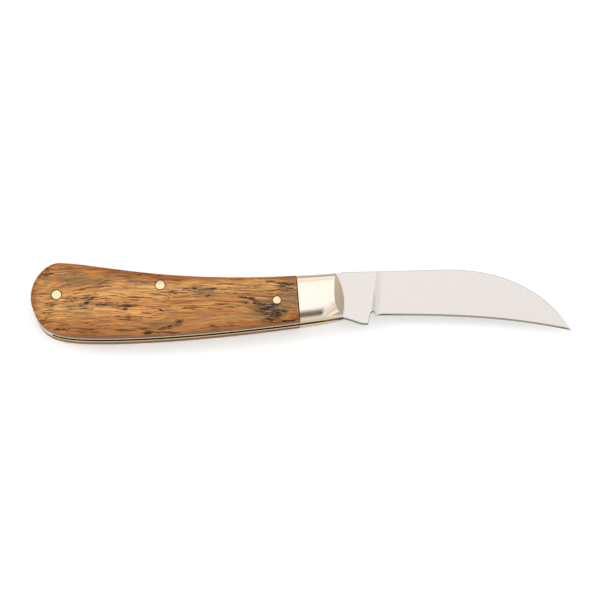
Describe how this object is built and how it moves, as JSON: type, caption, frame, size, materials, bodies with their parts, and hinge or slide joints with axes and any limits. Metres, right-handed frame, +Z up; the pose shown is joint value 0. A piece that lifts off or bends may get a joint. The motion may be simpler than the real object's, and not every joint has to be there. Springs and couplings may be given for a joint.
{
  "type": "folding whittling knife",
  "caption": "Slip-joint folding knife with a down-curved whittling blade, wood scales over brass liners and pale metal bolsters.",
  "frame": {"origin": "on the surface that the knife lies on, under the middle of its open length and of its height from belly to back", "axes": "+X along the knife to the blade's tip, +Y to the back of the handle, +Z up out of the right-hand side, with the knife lying on its left-hand side"},
  "size_m": [0.19, 0.027, 0.0132],
  "materials": {
    "blade_steel": "satin, ground along and polished on the edge",
    "spring_steel": "polished on the back, plain inside",
    "liner_brass": "satin",
    "bolster_metal": "polished nickel silver with a brushed bevel",
    "pin_brass": "polished",
    "scale_wood": "oiled oak with dark streaks"
  },
  "bodies": {
    "handle": {"back_spring": "spring_steel", "liner_right": "liner_brass", "liner_left": "liner_brass", "bolster_right": "bolster_metal", "bolster_left": "bolster_metal", "scale_right": "scale_wood", "scale_left": "scale_wood", "pivot_pin": "bolster_metal", "spring_pin": "pin_brass", "butt_pin": "pin_brass", "front_rivet_right": "pin_brass", "front_rivet_left": "pin_brass", "bolster_rivets_right": "bolster_metal", "bolster_rivets_left": "bolster_metal"},
    "blade": {"blade": "blade_steel"}
  },
  "joints": [
    {"name": "blade_fold", "type": "hinge", "parent": "handle", "child": "blade", "pos_m": [0.007, -0.00065, 0.0066], "axis": [0, 0, 1], "range_deg": [-178, 0], "deforming": ["back_spring"]}
  ]
}
